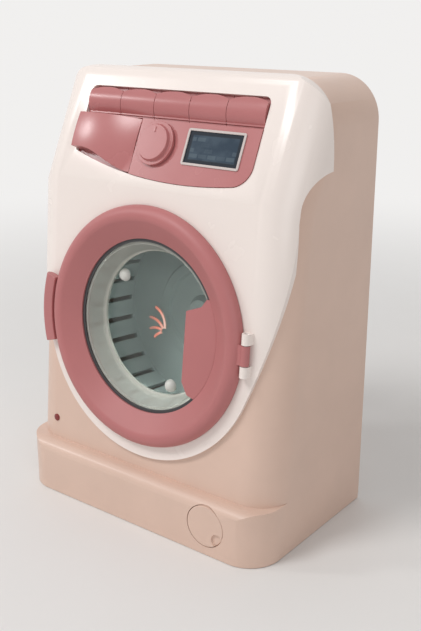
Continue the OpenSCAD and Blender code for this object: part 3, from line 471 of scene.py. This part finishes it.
PINK_MOULD = {"grain": COARSE_GRAIN, "wear": 0.12, "drift": 0.03}
finishes = {
    "beige_plastic": moulded("beige plastic", BEIGE, drift=0.03),
    "white_plastic": moulded("white plastic", WHITE, gloss=0.24, grain=COARSE_GRAIN, drift=0.008, wear=0),
    "pink_plastic": moulded("pink plastic", PINK, gloss=0.24, **PINK_MOULD),
    "pink_satin": moulded("satin pink plastic", PINK, gloss=0.46, **PINK_MOULD),
    "clear_plastic": clear_bowl(),
    "swirl_plastic": strokes(),
    "drum_plastic": moulded("drum plastic", srgb(176, 184, 183), gloss=0.32, coat=0.15),
    # The white bosses on the bowl stand where the glass shows two highlights: white plastic as painted highlights,
    # not lamps
    "lamp_white": moulded("white bosses as painted highlights", srgb(214, 214, 208), wear=0),
    "dark_plastic": moulded("dark plastic", srgb(58, 58, 60), gloss=0.45),
    "screen": screen(),
    "lens_red": moulded("red lens", srgb(128, 44, 44), gloss=0.12, wear=0),
    "bezel": moulded("display frame", srgb(196, 184, 180), gloss=0.28),
    "steel": metal("bright steel", srgb(190, 190, 192)),
    "brass": metal("brass", srgb(196, 164, 98)),
    "gear_plastic": moulded("natural acetal", srgb(226, 220, 200), gloss=0.4, wear=0.1),
    "inner_plastic": moulded("grey plastic", srgb(196, 192, 186), gloss=0.5),
    "board": board(),
    "silicone": moulded("silicone", srgb(222, 216, 204), gloss=0.6, wear=0),
    "cell": cell_jacket(),
}
# The door's ring and plate are less glossy than the other pink pieces
SATIN_PIECES = ("door_ring", "door_infill")


def finish_for(node):
    """The material that a node shows."""
    return finishes["pink_satin" if node in SATIN_PIECES else slot_of[node]]


for name, piece in nodes.items():
    piece.data.materials.clear()
    piece.data.materials.append(finish_for(name))


# Softened copies of the moulded pieces

# Vertices nearer than this are merged, and faces that meet at less than this angle are joined
WELD_DISTANCE = 0.002 * MM
FLAT_ANGLE = math.radians(0.6)
# Edges that turn more than this are rounded
SHARP_ANGLE = math.radians(32)
# Faces that still meet at more than this afterwards have a sharp edge between them
CREASE_ANGLE = math.radians(40)
# Share of the full width on edges that stay nearly sharp
SLIGHT = 0.1


def welded(node):
    """A copy of a node's mesh as one closed skin, with flat areas as single faces."""
    mesh = bmesh.new()
    mesh.from_mesh(nodes[node].data)
    bmesh.ops.remove_doubles(mesh, verts=mesh.verts, dist=WELD_DISTANCE)
    bmesh.ops.dissolve_limit(mesh, angle_limit=FLAT_ANGLE, verts=mesh.verts, edges=mesh.edges)
    return mesh


def weigh_edges(mesh, broad):
    """Marks a mesh's sharp edges for rounding."""
    weight = mesh.edges.layers.float.new("bevel_weight_edge")
    for edge in mesh.edges:
        if edge.is_manifold and edge.calc_face_angle() >= SHARP_ANGLE:
            middle = (edge.verts[0].co + edge.verts[1].co) / 2
            edge[weight] = 1 if broad is None or broad(middle) else SLIGHT


def apply_modifiers(piece):
    """Replaces a piece's mesh by the evaluated one."""
    graph = bpy.context.evaluated_depsgraph_get()
    data = bpy.data.meshes.new_from_object(piece.evaluated_get(graph), depsgraph=graph)
    piece.modifiers.clear()
    piece.data = data


def softened(node, width, segments=2, broad=None):
    """Replaces a node by a copy with its sharp edges rounded to the given width in metres.

    Where the function broad says so of an edge's middle, the edge gets the full width;
    elsewhere it stays nearly sharp. Without it all edges are alike.
    """
    mesh = welded(node)
    weigh_edges(mesh, broad)
    data = bpy.data.meshes.new(node + "_soft")
    mesh.to_mesh(data)
    mesh.free()
    piece = bpy.data.objects.new(node + "_soft", data)
    bpy.context.scene.collection.objects.link(piece)
    bevel = piece.modifiers.new("round edges", "BEVEL")
    bevel.width = width
    bevel.segments = segments
    bevel.limit_method = "WEIGHT"
    bevel.use_clamp_overlap = True
    apply_modifiers(piece)
    piece.data.shade_smooth()
    piece.data.set_sharp_from_angle(angle=CREASE_ANGLE)
    weighted = piece.modifiers.new("face weighted normals", "WEIGHTED_NORMAL")
    weighted.keep_sharp = True
    piece.data.materials.clear()
    piece.data.materials.append(finish_for(node))
    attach(piece, body_of[node])
    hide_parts(node)


# Width of the rounding in millimetres
SOFT_EDGES = {
    "body_shell": 0.6,
    "front_shell": 0.4,
    "rear_cover": 0.3,
    "base_plate": 0.4,
    "battery_cover": 0.2,
    "filter_cap": 0.3,
    "control_panel": 0.35,
    "lcd_bezel": 0.15,
    "program_knob": 0.4,
    "door_ring": 0.4,
    "door_infill": 0.25,
    "door_handle": 0.4,
    "power_slider": 0.2,
}
KEY_COUNT = 5
KEY_EDGE = 0.4
DRAWER_EDGE = 1.3
DRAWER_SEGMENTS = 4
# The drawer has its full rounding only where it stands farther than this out of the console's face
DRAWER_PROUD = 1.2 * MM


def before_console(place):
    """Whether a point stands clear of the console's face."""
    return (place - KNOB_PLACE).dot(CONSOLE_OUT) > DRAWER_PROUD


for name, width in SOFT_EDGES.items():
    softened(name, width * MM)
for number in range(1, KEY_COUNT + 1):
    softened(f"key_{number}", KEY_EDGE * MM)
softened("detergent_drawer", DRAWER_EDGE * MM, segments=DRAWER_SEGMENTS, broad=before_console)


# Studio: a pale floor that fades into the background, and four soft lamps

FLOOR_RADIUS = 4
FLOOR_SIDES = 96
# The floor lies just under the toy's resting face
FLOOR_HEIGHT = -0.2 * MM
# Distance from the toy at which the floor starts to fade into the background, and where it has faded
FADE_SPAN = (0.2, 0.75)
AMBIENT = 0.42
# Place and diameter in metres, and power in watts
LAMPS = {
    "key": ((-0.45, -0.95, 1.4), 0.6, 11),
    "left": ((-1.13, -0.76, 0.84), 0.2, 3),
    "fill": ((1.15, -0.85, 0.6), 0.8, 3),
    "top": ((-0.1, 0.3, 1.5), 0.8, 2),
}
LAMP_AIM = Vector((0, 0, 0.09))


def floor_finish():
    """Pale and slightly mottled near the toy, and plain background farther out."""
    f = Finish("floor")
    f.colour(f.mix(f.noise(0.3, detail=3), FLOOR_DARK, FLOOR_PALE))
    f.roughness(f.noise(0.02, detail=4), NOISE_SPAN, (0.55, 0.7))
    fade = f.node("ShaderNodeMapRange", interpolation_type="SMOOTHSTEP")
    for key, value in zip(("From Min", "From Max"), FADE_SPAN):
        fade.inputs[key].default_value = value
    f.join(f.vector("LENGTH", f.place), fade.inputs["Value"])
    glow = f.node("ShaderNodeEmission", Color=BACKDROP)
    faded = f.number("MULTIPLY", fade.outputs["Result"], f.seen_rays())
    f.surface(f.mix_shaders(faded, f.shader.outputs["BSDF"], glow.outputs["Emission"]))
    return f.material


def make_floor():
    mesh = bmesh.new()
    bmesh.ops.create_circle(mesh, cap_ends=True, radius=FLOOR_RADIUS, segments=FLOOR_SIDES)
    data = bpy.data.meshes.new("floor")
    mesh.to_mesh(data)
    mesh.free()
    floor = bpy.data.objects.new("floor", data)
    floor.location.z = FLOOR_HEIGHT
    bpy.context.scene.collection.objects.link(floor)
    data.materials.append(floor_finish())


def make_world():
    """Soft light from all round, with the plain backdrop where it is seen."""
    world = bpy.data.worlds.new("studio")
    bpy.context.scene.world = world
    world.use_nodes = True
    tree = ShaderTree(world.node_tree)
    light = tree.nodes["Background"]
    light.inputs["Color"].default_value = SOFT_LIGHT
    light.inputs["Strength"].default_value = AMBIENT
    backdrop = tree.node("ShaderNodeBackground", Color=BACKDROP)
    plain = backdrop.outputs["Background"]
    shown = tree.mix_shaders(tree.seen_rays(), light.outputs["Background"], plain)
    tree.join(shown, tree.nodes["World Output"].inputs["Surface"])


def make_lamp(name, place, size, power):
    data = bpy.data.lights.new(name, "AREA")
    data.shape = "DISK"
    data.size = size
    data.energy = power
    lamp = bpy.data.objects.new(name, data)
    lamp.location = place
    lamp.rotation_euler = (LAMP_AIM - lamp.location).to_track_quat("-Z", "Y").to_euler()
    bpy.context.scene.collection.objects.link(lamp)


make_floor()
make_world()
for name, (place, size, power) in LAMPS.items():
    make_lamp(name, place, size, power)

bpy.context.scene.view_settings.view_transform = "Standard"
